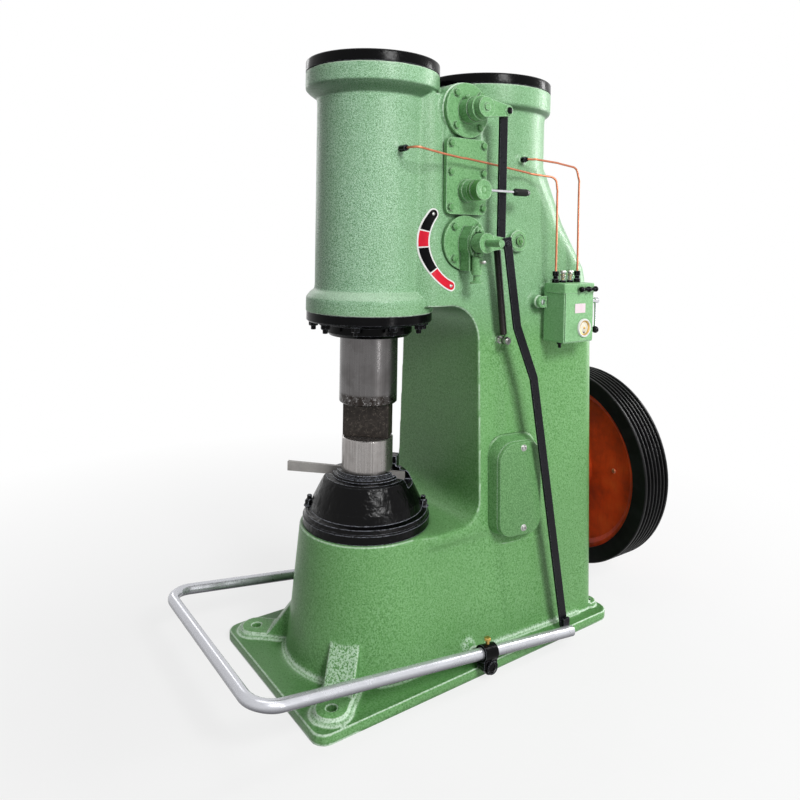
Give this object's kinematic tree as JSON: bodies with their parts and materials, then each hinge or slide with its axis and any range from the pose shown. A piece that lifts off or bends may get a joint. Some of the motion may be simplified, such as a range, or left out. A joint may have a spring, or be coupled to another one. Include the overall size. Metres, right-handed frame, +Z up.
{
  "type": "pneumatic forging hammer",
  "caption": "One-piece pneumatic forging hammer: C-shaped casting, falling ram over a sow block, air valves linked to a foot treadle, hand lubricator and a grooved flywheel.",
  "frame": {"origin": "on the ram axis, at the underside of the base", "axes": "+Z up along the ram, -Y towards the working side, +X towards the valve and control side"},
  "size_m": [0.76, 1.633, 1.89],
  "materials": {
    "casting_green": "hammertone green paint",
    "fitting_green": "green paint",
    "black_paint": "gloss black paint",
    "worked_steel": "machined and worn steel",
    "bright_steel": "plated steel",
    "chrome_rod": "polished chrome",
    "grip_black": "moulded black plastic",
    "tube_silver": "silver paint",
    "spring_dark": "oiled dark spring wire",
    "pulley_black": "satin black paint",
    "web_orange": "orange red primer",
    "sight_glass": "clear sight glass",
    "brass": "brass",
    "copper_pipe": "bare copper"
  },
  "bodies": {
    "frame": {"frame_casting": "casting_green", "front_cap": "black_paint", "rear_cap": "black_paint", "gland": "black_paint", "sow_block": "black_paint", "lower_die": "worked_steel", "wedge_key": "worked_steel", "top_valve_cover": "casting_green", "start_cover": "casting_green", "low_valve_cover": "casting_green", "drain_stub": "fitting_green", "drain_cock": "bright_steel", "plug_boss": "casting_green", "spring_stud": "bright_steel", "bearing_housing": "casting_green", "side_cover": "casting_green", "lub_box": "casting_green", "lub_sights": "sight_glass", "lub_unions": "black_paint", "lub_wing_screw": "black_paint", "lub_gauge": "brass", "lub_drain": "black_paint", "front_union": "black_paint", "rear_union": "black_paint", "front_pipe": "copper_pipe", "rear_pipe": "copper_pipe"},
    "ram": {"ram": "worked_steel", "upper_die": "worked_steel"},
    "flywheel": {"flywheel_rim": "pulley_black", "flywheel_web": "web_orange", "crankshaft": "worked_steel"},
    "treadle": {"treadle_tube": "tube_silver", "treadle_shaft": "worked_steel", "clamp_right": "black_paint", "clamp_left": "black_paint", "treadle_pin": "worked_steel"},
    "treadle_strap": {"treadle_strap": "black_paint"},
    "upper_lever": {"upper_lever": "fitting_green"},
    "lower_lever": {"lower_lever": "fitting_green"},
    "spring_end": {"return_spring": "spring_dark"},
    "link": {"link_strap": "black_paint"},
    "start_handle": {"start_hub": "fitting_green", "start_rod": "chrome_rod", "start_grip": "grip_black"},
    "oiler_crank": {"lub_crank": "bright_steel"}
  },
  "joints": [
    {"name": "ram_slide", "type": "slide", "parent": "frame", "child": "ram", "axis": [0, 0, 1], "range_m": [0, 0.3]},
    {"name": "flywheel_spin", "type": "hinge", "parent": "frame", "child": "flywheel", "pos_m": [0, 0.945, 0.444], "axis": [0, 1, 0], "continuous": true},
    {"name": "treadle_pivot", "type": "hinge", "parent": "frame", "child": "treadle", "pos_m": [0, 0.222, 0.05], "axis": [1, 0, 0], "range_deg": [0, 8], "stiffness_Nm_per_rad": 200, "springref_deg": -28.65},
    {"name": "strap_pivot", "type": "hinge", "parent": "treadle", "child": "treadle_strap", "pos_m": [0.326, 0.586, 0.06095], "axis": [1, 0, 0], "range_deg": [-8, 0]},
    {"name": "lower_lever_turn", "type": "hinge", "parent": "frame", "child": "lower_lever", "pos_m": [0.25, 0.22, 1.33], "axis": [1, 0, 0], "range_deg": [0, 33]},
    {"name": "upper_lever_turn", "type": "hinge", "parent": "frame", "child": "upper_lever", "pos_m": [0.25, 0.22, 1.744], "axis": [1, 0, 0], "range_deg": [0, 33]},
    {"name": "link_pivot", "type": "hinge", "parent": "upper_lever", "child": "link", "pos_m": [0.27, 0.316, 1.744], "axis": [1, 0, 0], "range_deg": [-33, 0]},
    {"name": "spring_stretch", "type": "slide", "parent": "frame", "child": "spring_end", "axis": [0, -0.2738, 0.9618], "range_m": [0, 0.0536], "deforming": ["return_spring"]},
    {"name": "start_turn", "type": "hinge", "parent": "frame", "child": "start_handle", "pos_m": [0.25, 0.22, 1.493], "axis": [1, 0, 0], "range_deg": [-28, 28]},
    {"name": "oiler_crank_turn", "type": "hinge", "parent": "frame", "child": "oiler_crank", "pos_m": [0.3393, 0.673, 1.14], "axis": [0, -1, 0], "range_deg": [-30, 210]}
  ],
  "couplings": [
    {"joint": "lower_lever_turn", "follows": "treadle_pivot", "ratio": 3.972},
    {"joint": "upper_lever_turn", "follows": "treadle_pivot", "ratio": 3.972},
    {"joint": "link_pivot", "follows": "treadle_pivot", "ratio": -3.972},
    {"joint": "strap_pivot", "follows": "treadle_pivot", "ratio": -0.9497},
    {"joint": "spring_stretch", "follows": "treadle_pivot", "m_per_rad": 0.37644}
  ]
}
